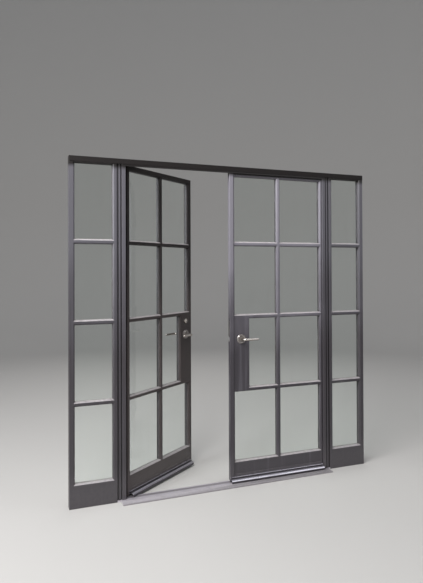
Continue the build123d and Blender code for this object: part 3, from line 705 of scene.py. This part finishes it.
# Levers, roses, collars and thumbturn: cast brass plated in satin nickel, brushed by hand. Faces
# turned down carry painted shade; the roses' dark faces are a painted dark reflection and their rims a
# painted highlight. A grub screw under each neck holds the lever.
# Faces turned down are darkened towards a warm brown: painted shade.
satin_nickel = start_material("satin_nickel", worn_metal, {
    "Metal": (0.74, 0.69, 0.65, 1),
    "Grime And Shade": (0.18, 0.14, 0.12, 1),
    "Grime Share": 0.25,
    "Under Shade Share": 0.85,
    "Roughness Low": 0.16,
    "Roughness High": 0.34,
}, 0.00002, 0.0006, metallic=1.0)[0]
finish_nodes(satin_nickel, "cylinder_collars", "key_plug", "thumbturn",
             "left_outside_lever", "left_inside_lever", "right_outside_lever", "right_inside_lever")
# Roses: the dark face is a painted dark reflection, and the bright rim a painted highlight.
rose_nickel_painted_reflection = start_material("rose_nickel_painted_reflection", worn_metal, {
    "Metal": (0.24, 0.22, 0.21, 1),
    "Grime And Shade": (0.12, 0.09, 0.08, 1),
    "Edge Highlight": (0.88, 0.85, 0.83, 1),
    "Grime Share": 0.4,
    "Edge Highlight Share": 1.0,
    "Roughness Low": 0.18,
    "Roughness High": 0.36,
}, 0.00002, 0.0006, metallic=0.6)[0]
finish_nodes(rose_nickel_painted_reflection, "left_roses", "right_roses")
lever_axis = 0.077
grub_depths = (-0.012, 0.080)
neck_underside = 0.9661
for side, body in ((-1, "left_lever"), (1, "right_lever")):
    grub_screws = bmesh.new()
    for depth in grub_depths:
        screw_head(grub_screws, (side * lever_axis, depth, neck_underside), (0, 0, -1), 0.0022, proud=0.0002)
    if side < 0:
        bmesh.ops.transform(grub_screws, matrix=left_leaf_open, verts=grub_screws.verts)
    finished_object(f"{body}_grub_screws", grub_screws, screw_steel, body)

# Lock, strike plate and shoot bolts: plain steel let into the meeting stiles, dulled in patches.
# The plates have two countersunk screws each.
lock_steel = start_material("lock_steel", worn_metal, {
    "Metal": (0.52, 0.50, 0.48, 1),
    "Grime And Shade": (0.10, 0.08, 0.07, 1),
    "Grime Share": 0.5,
    "Roughness Low": 0.25,
    "Roughness High": 0.5,
}, 0.00004, 0.0004, metallic=1.0)[0]
finish_nodes(lock_steel, "lock_case", "latch_bolt", "deadbolt", "strike_plate", "top_bolt", "bottom_bolt")
stile_middle = 0.034
plate_front = 0.0021
faceplate_screw_heights = (0.8985, 1.1215)
strike_screw_heights = (1.012, 1.036)
faceplate_screws = bmesh.new()
for height in faceplate_screw_heights:
    screw_head(faceplate_screws, (-plate_front, stile_middle, height), (1, 0, 0), 0.0036, turn=height * 9)
bmesh.ops.transform(faceplate_screws, matrix=left_leaf_open, verts=faceplate_screws.verts)
finished_object("faceplate_screws", faceplate_screws, screw_steel, "left_leaf")
strike_screws = bmesh.new()
for height in strike_screw_heights:
    screw_head(strike_screws, (plate_front, stile_middle, height), (-1, 0, 0), 0.0034, turn=height * 7)
finished_object("strike_screws", strike_screws, screw_steel, "right_leaf")

# Studio: a pale floor that curves up into a wall all round, lit by soft square lamps and a
# bright even sky.
floor_reach = 6.5
sweep_radius = 3.0
wall_top = 8.0
studio_segments = 96
sweep_angles = [math.radians(degrees) for degrees in range(8, 91, 8)]
profile = [(floor_reach, 0.0)]
profile += [(floor_reach + sweep_radius * math.sin(angle), sweep_radius - sweep_radius * math.cos(angle))
            for angle in sweep_angles]
profile += [(floor_reach + sweep_radius, wall_top)]
turns = [2 * math.pi * segment / studio_segments for segment in range(studio_segments)]
studio = bmesh.new()
rings = [[studio.verts.new((reach * math.cos(turn), reach * math.sin(turn), height)) for turn in turns]
         for reach, height in profile]
studio.faces.new(rings[0])
for inner, outer in zip(rings, rings[1:]):
    for segment in range(studio_segments):
        after = (segment + 1) % studio_segments
        studio.faces.new((inner[segment], inner[after], outer[after], outer[segment]))
bmesh.ops.recalc_face_normals(studio, faces=studio.faces)
studio_mesh = bpy.data.meshes.new("studio_floor")
studio.to_mesh(studio_mesh)
studio.free()
studio_mesh.shade_smooth()
studio_floor = bpy.data.objects.new("studio_floor", studio_mesh)
bpy.context.scene.collection.objects.link(studio_floor)
pale = bpy.data.materials.new("studio_pale")
pale.use_nodes = True
pale_shader = pale.node_tree.nodes["Principled BSDF"]
pale_shader.inputs["Base Color"].default_value = (0.50, 0.492, 0.48, 1)
pale_shader.inputs["Roughness"].default_value = 0.85
studio_mesh.materials.append(pale)


def soft_lamp(name, place, aim, size, power, colour, mirrored=True):
    """A square area lamp pointed at a place, which polished pieces may mirror."""
    lamp = bpy.data.lights.new(name, "AREA")
    lamp.shape = "SQUARE"
    lamp.size = size
    lamp.energy = power
    lamp.color = colour
    holder = bpy.data.objects.new(name, lamp)
    holder.location = place
    holder.rotation_mode = "QUATERNION"
    holder.rotation_quaternion = (Vector(aim) - Vector(place)).to_track_quat("-Z", "Y")
    holder.visible_glossy = mirrored
    holder.visible_transmission = False
    bpy.context.scene.collection.objects.link(holder)


soft_lamp("sky_lamp", (-2.6, -2.2, 4.4), (0, 0, 1.3), 2.6, 260, (1.0, 0.985, 0.97))
soft_lamp("side_lamp", (-5.0, -0.8, 2.4), (0, 0.0, 1.2), 2.5, 120, (0.97, 0.97, 1.0))
soft_lamp("high_panel", (3.4, -3.3, 4.8), (0.4, 0, 0.6), 3.6, 60, (0.98, 0.985, 1.0))
soft_lamp("room_lamp", (1.0, 4.0, 4.0), (0, 0.3, 0.9), 3.5, 40, (1.0, 0.97, 0.93), mirrored=False)
world = bpy.data.worlds.new("soft_sky")
world.use_nodes = True
sky = world.node_tree.nodes["Background"]
sky.inputs["Color"].default_value = (0.92, 0.95, 1.0, 1)
sky.inputs["Strength"].default_value = 0.38
bpy.context.scene.world = world

# Camera: stands to the left in front of the doors at eye height and looks a little to the right.
# Its focal length and shift are in pixels of a picture 583 high.
eye = (-1.520, -3.466, 1.447)
heading = math.radians(21.661)
tilt = math.radians(0.518)
roll = math.radians(-0.208)
picture_height = 583
focal_length_pixels = 559.08
shift_pixels = -26.7
sensor_side = 36.0
ahead = Vector((math.sin(heading) * math.cos(tilt), math.cos(heading) * math.cos(tilt), math.sin(tilt)))
level = Vector((math.cos(heading), -math.sin(heading), 0.0))
above = level.cross(ahead)
right = level * math.cos(roll) + above * math.sin(roll)
up = above * math.cos(roll) - level * math.sin(roll)
lens = bpy.data.cameras.new("photo_camera")
lens.sensor_width = sensor_side
lens.lens = focal_length_pixels / picture_height * sensor_side
lens.shift_y = shift_pixels / picture_height
lens.clip_end = 100.0
camera = bpy.data.objects.new("photo_camera", lens)
camera.matrix_world = Matrix.Translation(eye) @ Matrix((right, up, -ahead)).transposed().to_4x4()
bpy.context.scene.collection.objects.link(camera)
bpy.context.scene.camera = camera
bpy.context.scene.view_settings.view_transform = "Standard"
